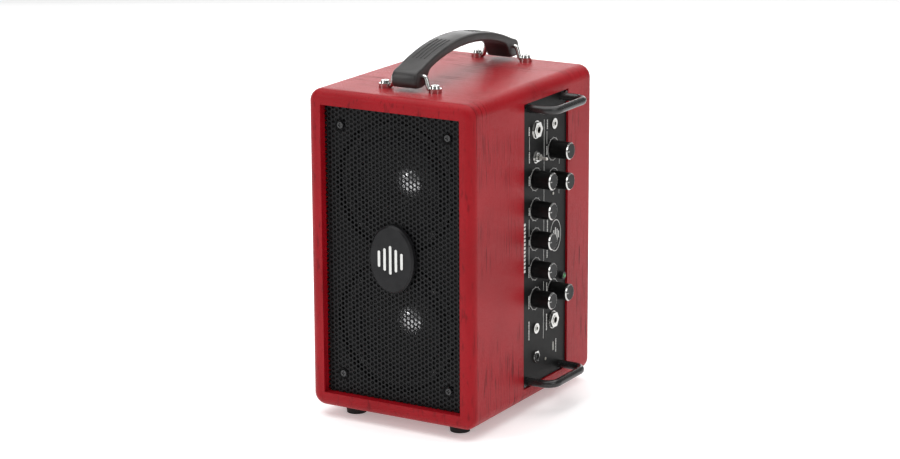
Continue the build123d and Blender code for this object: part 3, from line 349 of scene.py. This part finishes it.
hole_pitch = 0.0048
hole_radius = 0.00185
hole_sides = 12
column_step = hole_pitch * cos(radians(30))
sheet_thickness = 0.0012
dish_radius = 0.007
dish_flare = 0.0026
dish_depth = 0.0023
sheet_lo, sheet_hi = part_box("grille")
screws_lo, screws_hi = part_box("grille_screws")
screw_head_radius = 0.0038
first_hole_at = sheet_lo + Vector((hole_pitch * 0.3, 0, hole_pitch * 0.2))


def add_piece(name, shape, finish, body, smooth=None):
    """Makes an object of a finished shape, with its finish, and puts it on its body."""
    made = bpy.data.objects.new(name, bpy.data.meshes.new(name))
    shape.to_mesh(made.data)
    shape.free()
    made.data.materials.append(finish)
    bpy.context.scene.collection.objects.link(made)
    if smooth is not None:
        for face in made.data.polygons:
            face.use_smooth = True
        made.data.set_sharp_from_angle(angle=radians(smooth))
    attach(made, body)
    return made


def verts_of(geometry):
    return [part for part in geometry if isinstance(part, bmesh.types.BMVert)]


def repeat(shape, step, count):
    """Copies all of a shape until there are count of it, one step apart."""
    first = shape.verts[:] + shape.edges[:] + shape.faces[:]
    for place in range(1, count):
        copy = bmesh.ops.duplicate(shape, geom=first)["geom"]
        bmesh.ops.translate(shape, verts=verts_of(copy), vec=step * place)


def cut_off(shape, at, outward):
    """Cuts a shape with a plane, drops what is outside, and closes the cut."""
    everything = shape.verts[:] + shape.edges[:] + shape.faces[:]
    bmesh.ops.bisect_plane(
        shape, geom=everything, dist=1e-6, plane_co=at, plane_no=outward, clear_outer=True
    )
    open_edges = [edge for edge in shape.edges if edge.is_boundary and on_plane(edge, at, outward)]
    bmesh.ops.holes_fill(shape, edges=open_edges, sides=0)


def on_plane(edge, at, outward):
    return all(abs((vert.co - at).dot(outward)) < 1e-5 for vert in edge.verts)


mesh_sheet = bmesh.new()
upright = Matrix.Rotation(radians(90), 4, "X")
turned_cell = upright @ Matrix.Rotation(radians(30), 4, "Z")
bmesh.ops.create_circle(
    mesh_sheet, segments=6, radius=hole_pitch / 2 / cos(radians(30)), matrix=turned_cell
)
bmesh.ops.subdivide_edges(mesh_sheet, edges=mesh_sheet.edges[:], cuts=1)
bmesh.ops.create_circle(mesh_sheet, segments=hole_sides, radius=hole_radius, matrix=upright)
bmesh.ops.bridge_loops(mesh_sheet, edges=mesh_sheet.edges[:])
back = bmesh.ops.extrude_face_region(mesh_sheet, geom=mesh_sheet.faces[:])["geom"]
bmesh.ops.translate(mesh_sheet, verts=verts_of(back), vec=(0, sheet_thickness, 0))
joints_between = [
    face for face in mesh_sheet.faces
    if all(Vector((vert.co.x, vert.co.z)).length > hole_radius * 1.1 for vert in face.verts)
]
bmesh.ops.delete(mesh_sheet, geom=joints_between, context="FACES_ONLY")
bmesh.ops.translate(mesh_sheet, verts=mesh_sheet.verts, vec=first_hole_at)
first_hole = mesh_sheet.verts[:] + mesh_sheet.edges[:] + mesh_sheet.faces[:]
second = bmesh.ops.duplicate(mesh_sheet, geom=first_hole)["geom"]
bmesh.ops.translate(mesh_sheet, verts=verts_of(second), vec=(column_step, 0, -hole_pitch / 2))
sheet_size = sheet_hi - sheet_lo
repeat(mesh_sheet, Vector((0, 0, hole_pitch)), round(sheet_size.z / hole_pitch) + 2)
repeat(mesh_sheet, Vector((column_step * 2, 0, 0)), round(sheet_size.x / column_step / 2) + 1)
bmesh.ops.remove_doubles(mesh_sheet, verts=mesh_sheet.verts, dist=1e-5)
cut_off(mesh_sheet, sheet_lo, Vector((-1, 0, 0)))
cut_off(mesh_sheet, sheet_lo, Vector((0, 0, -1)))
cut_off(mesh_sheet, sheet_hi, Vector((1, 0, 0)))
cut_off(mesh_sheet, sheet_hi, Vector((0, 0, 1)))
dishes = [
    Vector((x, z))
    for x in (screws_lo.x + screw_head_radius, screws_hi.x - screw_head_radius)
    for z in (screws_lo.z + screw_head_radius, screws_hi.z - screw_head_radius)
]
for vert in mesh_sheet.verts:
    reach = min((Vector((vert.co.x, vert.co.z)) - dish).length for dish in dishes)
    slope = min(max((dish_radius - reach) / dish_flare, 0), 1)
    vert.co.y += dish_depth * slope * slope * (3 - 2 * slope)
bmesh.ops.recalc_face_normals(mesh_sheet, faces=mesh_sheet.faces)
sheet_coat = grained(
    "sheet_coat", (0.004, 0.004, 0.005), (0.01, 0.01, 0.011), 2600, (0.36, 0.5), 0.00004,
    {"Specular IOR Level": 0.22},
)
perforated = add_piece("perforated_grille", mesh_sheet, sheet_coat, "cabinet")
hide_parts("grille")
coat(black_screw, "grille_screws")


# Badge. A domed oval moulding glued to the grille, with five bright bars of unequal height on it.

badge_plastic = grained(
    "badge_moulding", (0.008, 0.008, 0.009), (0.015, 0.015, 0.016), 1800, (0.3, 0.4), 0.00002,
    {"Specular IOR Level": 0.2},
)
coat(badge_plastic, "badge")

bright, place = new_finish("bright_metal", {"Metallic": 1.0})
haze = noise(place, 300.0)
feed(
    bright,
    Base_Color=blend(haze, (0.5, 0.5, 0.49), (0.68, 0.68, 0.66)),
    Roughness=spread(haze, 0.3, 0.7, 0.1, 0.22),
    Normal=relief(noise(place, 1500.0), 0.00001),
)
coat(bright, "badge_emblem")


# Back. A black board held by six screws carries two passive radiators: moulded frames, rubber
# rolls and stiff weighted cones, with nothing to drive them but the air in the box.

coat(sprayed_board, "rear_panel")
coat(black_screw, "rear_panel_screws", "radiator_screws")
moulding = grained("radiator_frame", (0.014, 0.014, 0.014), (0.026, 0.026, 0.026), 2000, (0.5, 0.62), 0.00005)
coat(moulding, "radiator_frames")
coat(butyl, "upper_radiator_surround", "lower_radiator_surround")
satin_cone = grained("radiator_cone", (0.018, 0.018, 0.019), (0.032, 0.032, 0.034), 900, (0.3, 0.42), 0.00003)
coat(satin_cone, "upper_radiator_cone", "lower_radiator_cone")


# Control panel. A steel plate, powder coated black, let into the right-hand side and held by four
# small screws. A bent round bar stands across each end to keep knocks off the knobs.

plate_coat = grained(
    "plate_coat", (0.004, 0.004, 0.004), (0.009, 0.009, 0.009), 3200, (0.42, 0.54), 0.00003,
    {"Specular IOR Level": 0.12},
)
coat(plate_coat, "control_panel")
coat(black_screw, "panel_screws")
bar_paint = grained(
    "bar_paint", (0.012, 0.012, 0.012), (0.022, 0.022, 0.022), 1200, (0.22, 0.32), 0.00003,
    {"Specular IOR Level": 0.45},
)
coat(bar_paint, "upper_guard", "lower_guard")


# Printing. Silk-screened white lines, dial scales and plain bars that stand where the names of the
# controls would be. It is a thin film of ink on the plate.

panel_lo, panel_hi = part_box("control_panel")
plate_face = panel_hi.x
plate_mid = (panel_lo.z + panel_hi.z) / 2
ink_proud = 0.00006
ink_sunk = 0.00004
ink = bmesh.new()


def ink_bar(y, z, width, height, turn=0.0, about=None):
    """A printed bar on the plate, turned about a point on it."""
    made = bmesh.ops.create_cube(ink, size=1)["verts"]
    bmesh.ops.scale(ink, verts=made, vec=(ink_proud + ink_sunk, width, height))
    bmesh.ops.translate(ink, verts=made, vec=(plate_face + (ink_proud - ink_sunk) / 2, y, z))
    if about:
        bmesh.ops.rotate(ink, verts=made, cent=(0, *about), matrix=Matrix.Rotation(turn, 3, "X"))


def ink_arc(y, z, radius, width, start, sweep, steps, squeeze=1.0):
    """A printed arc about a point on the plate, from start through sweep, narrowed across Y."""
    section = [
        ink.verts.new((plate_face + out, y, z + radius + side * width / 2))
        for out, side in ((-ink_sunk, -1), (ink_proud, -1), (ink_proud, 1), (-ink_sunk, 1))
    ]
    outline = [ink.edges.new((section[corner - 1], section[corner])) for corner in range(4)]
    full = abs(abs(sweep) - tau) < 1e-6
    bmesh.ops.rotate(ink, verts=section, cent=(0, y, z), matrix=Matrix.Rotation(start, 3, "X"))
    before = set(ink.verts) - set(section)
    end = bmesh.ops.spin(
        ink, geom=outline, cent=(0, y, z), axis=(1, 0, 0), angle=sweep, steps=steps, use_merge=full
    )["geom_last"]
    if not full:
        bmesh.ops.contextual_create(ink, geom=outline)
        bmesh.ops.contextual_create(ink, geom=[part for part in end if isinstance(part, bmesh.types.BMEdge)])
    made = [vert for vert in ink.verts if vert not in before]
    bmesh.ops.scale(
        ink, verts=made, vec=(1, squeeze, 1), space=Matrix.Translation((0, -y, -z))
    )


def ink_word(y, top, bottom, tall):
    """A row of short bars, as long as a printed name that reads upwards."""
    letter = tall * 0.62
    count = max(2, round((top - bottom) / (tall * 0.95)))
    gap = (top - bottom) / count
    for place in range(count):
        ink_bar(y, bottom + gap * (place + 0.5), tall, letter)


line_width = 0.0005
left_line = -0.0079
middle_line = 0.0224
name_height = 0.0017
edge_name_y = -0.0172
edge_name_height = 0.0042
# Each ruled line and each name: its place along the depth in metres, then its top and its bottom
# in millimetres from the plate's middle.
rules = (
    (left_line, 110.0, 96.5), (left_line, 26.8, 9.5), (left_line, -0.9, -19.0),
    (middle_line, 122.0, 70.2), (middle_line, 52.3, 39.2), (middle_line, 21.1, 7.2),
    (middle_line, -10.1, -22.8), (middle_line, -43.5, -54.0), (middle_line, -72.5, -103.0),
    (0.0281, 109.0, 96.1), (0.0541, 76.9, 70.8), (0.0539, 46.6, 40.5),
)
for y, top, bottom in rules:
    ink_bar(y, plate_mid + (top + bottom) / 2000, line_width, (top - bottom) / 1000)
names = (
    (-0.0083, 120.0, 111.1), (-0.0078, 95.3, 83.4), (-0.008, 70.6, 60.7), (-0.0078, 38.8, 30.8),
    (-0.0077, 6.3, 0.4), (-0.0079, -21.2, -32.7), (-0.0078, -51.0, -64.9), (-0.0076, -77.6, -97.3),
    (0.0289, 120.8, 110.9), (0.0281, 94.1, 85.1), (0.03, 19.0, 6.0), (0.0295, -12.8, -20.9),
    (0.0289, -46.2, -55.5), (0.0289, -78.8, -96.4), (0.049, -109.8, -124.1),
)
for y, top, bottom in names:
    ink_word(y, plate_mid + top / 1000, plate_mid + bottom / 1000, name_height)
ink_word(edge_name_y, plate_mid + 0.0252, plate_mid - 0.026, edge_name_height)

controls = ("input", "bass", "middle", "treble", "master", "aux", "limiter", "line_out")
scale_radius = 0.0112
scale_half_sweep = radians(150)
scale_line = 0.0004
scale_marks = 11
mark_length = 0.0012
for name in controls:
    knob_lo, knob_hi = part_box(name + "_knob")
    centre = ((knob_lo.y + knob_hi.y) / 2, (knob_lo.z + knob_hi.z) / 2)
    ink_arc(*centre, scale_radius, scale_line, radians(90) - scale_half_sweep, 2 * scale_half_sweep, 40)
    for mark in range(scale_marks):
        turn = radians(90) + scale_half_sweep * (2 * mark / (scale_marks - 1) - 1)
        ink_bar(centre[0], centre[1] + scale_radius + mark_length / 2, scale_line, mark_length, turn, centre)
oval_y = 0.047
oval_z = plate_mid - 0.0015
oval_radius = 0.016
oval_squeeze = 0.69
oval_line = 0.0006
oval_bars = (0.007, 0.012, 0.0165, 0.012, 0.007)
oval_bar_width = 0.0014
oval_bar_pitch = 0.0034
ink_arc(oval_y, oval_z, oval_radius, oval_line, 0, tau, 48, oval_squeeze)
for place, tall in enumerate(oval_bars):
    ink_bar(oval_y + oval_bar_pitch * (place - 2), oval_z, oval_bar_width, tall)
bmesh.ops.recalc_face_normals(ink, faces=ink.faces)
ink_white = grained("white_ink", (0.62, 0.62, 0.6), (0.78, 0.78, 0.76), 2600, (0.45, 0.6), 0.00002)
add_piece("panel_printing", ink, ink_white, "cabinet")


# Sockets, switch and lamps. Nickel-plated bushes come up through the plate and take washers and
# nuts, and the moulded socket bodies and potentiometer cans stay behind it.

plated = bright.copy()
plated.name = "nickel_plate"
coat(plated, "panel_nuts", "pot_nuts")
lever_metal = grained(
    "satin_nickel", (0.62, 0.61, 0.57), (0.78, 0.77, 0.73), 1200, (0.34, 0.46), 0.00002, {"Metallic": 0.7}
)
coat(lever_metal, "toggle_lever")


def part_metal(name, node, metal_past, plastic):
    """A finish that is plastic behind the plate and nickel from a given depth outwards."""
    finish, place = new_finish(name, {})
    depth = place.node("SeparateXYZ", {}, {0: place}, out=0)
    metal = place.math("GREATER_THAN", depth, metal_past)
    grain = noise(place, 1500.0)
    moulded = blend(grain, plastic, tuple(part * 2 for part in plastic))
    feed(
        finish,
        Base_Color=blend(metal, moulded, (0.56, 0.55, 0.52)),
        Metallic=metal,
        Roughness=spread(grain, 0.3, 0.7, 0.42, 0.56) - metal * 0.25,
        Normal=relief(grain, 0.00003),
    )
    coat(finish, node)


plate_back = panel_lo.x
part_metal("phone_socket", "phone_jacks", plate_back, (0.01, 0.01, 0.01))
part_metal("mini_socket", "mini_jacks", plate_back, (0.01, 0.01, 0.01))
part_metal("toggle_case", "toggle_housing", plate_back, (0.05, 0.012, 0.012))
part_metal("pot_case", "pot_bodies", panel_lo.x - 0.02, (0.3, 0.3, 0.28))
past_everything = panel_hi.x + 0.1
part_metal("dc_socket", "dc_inlet", past_everything, (0.012, 0.012, 0.012))
coat(zinc, "usb_port")
coat(powder, "lamp_bezel")

lens, place = new_finish("lamp_lens", {"Transmission Weight": 0.5, "IOR": 1.49, "Coat Weight": 0.3})
height = place.node("SeparateXYZ", {}, {0: place}, out=2)
green_low = plate_mid - 0.05
green_high = plate_mid - 0.04
green_edge = 0.001
above_low = spread(height, green_low, green_low + green_edge)
above_high = spread(height, green_high, green_high + green_edge)
green = above_low - above_high
cloud = noise(place, 900.0)
feed(
    lens,
    Base_Color=blend(green, (0.7, 0.68, 0.6), blend(cloud, (0.08, 0.4, 0.12), (0.16, 0.6, 0.2))),
    Roughness=spread(cloud, 0.3, 0.7, 0.12, 0.24),
)
coat(lens, "lamps")


# Knobs. Each is a black moulding pushed on its shaft, with a bright chamfered ring and a dark
# spun disc let into its face, and a white line that tells where it points.

knob_black = grained(
    "knob_moulding", (0.004, 0.004, 0.004), (0.008, 0.008, 0.008), 1800, (0.3, 0.42), 0.00003,
    {"Specular IOR Level": 0.15},
)
face_sink = 0.0004
ring_outer = 0.00866
ring_inner = 0.0077
chamfer = 0.001
ring_skin = 0.0003
rim_proud = 0.00005
turning_steps = 64
disc_edge_sink = 0.00018
disc_middle_sink = 0.00026
pointer_length = 0.0032
pointer_width = 0.0005
pointer_thickness = 0.0003
pointer_from_middle = 0.0049
pointer_ink = ink_white.copy()
pointer_ink.name = "pointer_ink"


def spin_round(shape, outline, centre, steps):
    """Turns an open outline of (distance along X, radius) about an axis along X."""
    verts = [shape.verts.new((x, centre.y, centre.z + radius)) for x, radius in outline]
    edges = [shape.edges.new(pair) for pair in zip(verts, verts[1:])]
    bmesh.ops.spin(
        shape, geom=verts + edges, cent=centre, axis=(1, 0, 0), angle=tau, steps=steps, use_merge=True
    )
    bmesh.ops.remove_doubles(shape, verts=shape.verts, dist=1e-7)
    bmesh.ops.recalc_face_normals(shape, faces=shape.faces)


for name in controls:
    knob = name + "_knob"
    coat(knob_black, knob)
    knob_lo, knob_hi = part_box(knob)
    centre = (knob_lo + knob_hi) / 2
    rim = knob_hi.x
    ring = bmesh.new()
    spin_round(
        ring,
        (
            (rim - chamfer - ring_skin, ring_outer - 0.0002),
            (rim - chamfer, ring_outer),
            (rim + rim_proud, ring_outer - chamfer),
            (rim + rim_proud, ring_inner + 0.0001),
            (rim - 0.0002, ring_inner),
            (rim - face_sink, ring_inner),
            (rim - face_sink, ring_outer - chamfer),
            (rim - chamfer - ring_skin, ring_outer - 0.0002),
        ),
        centre,
        turning_steps,
    )
    add_piece(name + "_ring", ring, bright, name + "_control", 35)

    disc_metal, place = new_finish(name + "_disc_metal", {"Metallic": 1.0})
    put = place.node("VectorMath", {"operation": "SUBTRACT"}, {0: place, 1: centre})
    flat = place.node("VectorMath", {"operation": "MULTIPLY"}, {0: put, 1: (0, 1, 1)})
    radius = place.node("VectorMath", {"operation": "LENGTH"}, {0: flat}, out=1)
    rings = turned_lines(radius, 6000.0)
    feed(
        disc_metal,
        Base_Color=blend(rings, (0.005, 0.005, 0.005), (0.018, 0.018, 0.018)),
        Roughness=spread(rings, 0.3, 0.7, 0.3, 0.42),
        Normal=relief(rings, 0.00002),
    )
    disc = bmesh.new()
    spin_round(
        disc,
        (
            (rim - face_sink, 0),
            (rim - face_sink, ring_inner + 0.00005),
            (rim - 0.00022, ring_inner + 0.00005),
            (rim - disc_edge_sink, ring_inner - 0.0003),
            (rim - 0.00024, ring_inner / 2),
            (rim - disc_middle_sink, 0),
        ),
        centre,
        turning_steps,
    )
    add_piece(name + "_disc", disc, disc_metal, name + "_control", 35)

    pointer = bmesh.new()
    made = bmesh.ops.create_cube(pointer, size=1)["verts"]
    bmesh.ops.scale(pointer, verts=made, vec=(pointer_thickness, pointer_length, pointer_width))
    bmesh.ops.bevel(
        pointer, geom=pointer.edges[:], offset=0.00008, segments=2, affect="EDGES", profile=0.5, material=-1
    )
    pointer_at = (rim - 0.0001, centre.y - pointer_from_middle, centre.z)
    bmesh.ops.translate(pointer, verts=pointer.verts, vec=pointer_at)
    add_piece(name + "_pointer", pointer, pointer_ink, name + "_control", 35)


# Electronics. A folded steel tray behind the plate holds the circuit board, a finned aluminium
# heatsink and a shrink-wrapped battery pack.

galvanised, place = new_finish("galvanised_sheet", {"Metallic": 1.0})
spangle = place.node("TexVoronoi", {}, {"Vector": place, "Scale": 160.0}, out=0)
feed(
    galvanised,
    Base_Color=blend(spangle, (0.38, 0.39, 0.4), (0.62, 0.63, 0.64)),
    Roughness=spread(spangle, 0, 1, 0.35, 0.55),
    Normal=relief(noise(place, 900.0), 0.00003),
)
coat(galvanised, "amp_chassis")
solder_mask = grained("solder_mask", (0.004, 0.07, 0.025), (0.008, 0.12, 0.045), 900, (0.3, 0.45), 0.00003)
coat(solder_mask, "main_board")
extruded, place = new_finish("extruded_aluminium", {"Metallic": 1.0})
draw_lines = noise(place, 1.0, 2.0, (2600, 2600, 40))
feed(
    extruded,
    Base_Color=blend(draw_lines, (0.6, 0.6, 0.61), (0.78, 0.78, 0.79)),
    Roughness=spread(draw_lines, 0.3, 0.7, 0.28, 0.4),
    Normal=relief(draw_lines, 0.00003),
)
coat(extruded, "heatsink")
battery_wrap = grained("battery_wrap", (0.01, 0.05, 0.16), (0.02, 0.08, 0.24), 500, (0.3, 0.45), 0.00005)
coat(battery_wrap, "battery_pack")


# Handle. A moulded strap, thicker at its folded ends, hangs on two bent chrome rods whose eyes
# are screwed to the top.

coat(bright, "handle_brackets", "handle_screws")

strap_lo, strap_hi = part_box("handle_strap")
strap_arc = 0.236
strap_thick = 0.0093
strap_edge_round = 0.0026
strap_mid = (strap_lo + strap_hi) / 2
arc_centre = strap_hi.z - strap_arc


def arch(y, radius):
    """Height of the strap's arch above its foot, at a distance along it from the middle."""
    return arc_centre - strap_lo.z + sqrt(radius * radius - y * y)


outer = [(y, arch(y, strap_arc)) for y in (0, 0.012, 0.024, 0.036, 0.048, 0.06, 0.072, 0.082, 0.09)]
end_fold = [
    (0.0952, 0.0181), (0.0986, 0.0168), (0.1007, 0.0148), (0.102, 0.0118), (0.1025, 0.0083),
    (0.1024, 0.0048), (0.1015, 0.0022), (0.0996, 0.0006), (0.0965, 0), (0.0895, 0), (0.0856, 0.0004),
    (0.0832, 0.0017), (0.0815, 0.0042), (0.0795, 0.0078), (0.0772, 0.0116), (0.0748, 0.0145),
]
inner = [(y, arch(y, strap_arc - strap_thick)) for y in (0.0715, 0.064, 0.054, 0.042, 0.028, 0.014, 0)]
half_outline = outer + end_fold + inner
strap = bmesh.new()
outline = [strap.verts.new((strap_lo.x, strap_mid.y + y, strap_lo.z + z)) for y, z in half_outline]
outline += [
    strap.verts.new((strap_lo.x, strap_mid.y - y, strap_lo.z + z)) for y, z in reversed(half_outline[1:-1])
]
side = strap.faces.new(outline)
other = bmesh.ops.extrude_face_region(strap, geom=[side])["geom"]
bmesh.ops.translate(strap, verts=verts_of(other), vec=(strap_hi.x - strap_lo.x, 0, 0))
bmesh.ops.recalc_face_normals(strap, faces=strap.faces)
long_edges = [edge for edge in strap.edges if abs(edge.verts[0].co.x - edge.verts[1].co.x) < 1e-6]
bmesh.ops.bevel(
    strap, geom=long_edges, offset=strap_edge_round, segments=4, affect="EDGES", profile=0.5, material=-1
)
rib_start = 0.026
rib_end = 0.074
rib_half_width = 0.0008
rib_height = 0.0006
rib_sunk = 0.0002
rib_rows = (-0.0066, -0.0022, 0.0022, 0.0066)
hub = Vector((strap_mid.x, strap_mid.y, arc_centre))
for way in (-1, 1):
    for row in rib_rows:
        foot = strap_arc - rib_sunk
        section = [
            strap.verts.new(hub + Vector((row + across * rib_half_width, 0, foot + up * rib_height)))
            for across, up in ((-1, 0), (-0.6, 1), (0.6, 1), (1, 0))
        ]
        turn = way * asin(rib_start / strap_arc)
        bmesh.ops.rotate(strap, verts=section, cent=hub, matrix=Matrix.Rotation(-turn, 3, "X"))
        rib = strap.faces.new(section)
        sweep = way * (asin(rib_end / strap_arc) - asin(rib_start / strap_arc))
        bmesh.ops.spin(strap, geom=[rib], cent=hub, axis=(1, 0, 0), angle=-sweep, steps=12)
bmesh.ops.recalc_face_normals(strap, faces=strap.faces)
strap_skin, place = new_finish("strap_skin", {"Sheen Weight": 0.1})
pebble = place.node("TexVoronoi", {"feature": "SMOOTH_F1"}, {"Vector": place, "Scale": 900.0})
wear = noise(place, 60.0)
feed(
    strap_skin,
    Base_Color=blend(spread(wear, 0.3, 0.7), (0.012, 0.011, 0.011), (0.026, 0.024, 0.023)),
    Roughness=spread(wear, 0.3, 0.7, 0.36, 0.5),
    Normal=relief(pebble, 0.0001, 0.6),
)
strap_piece = add_piece("carry_strap", strap, strap_skin, "cabinet", 40)
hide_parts("handle_strap")
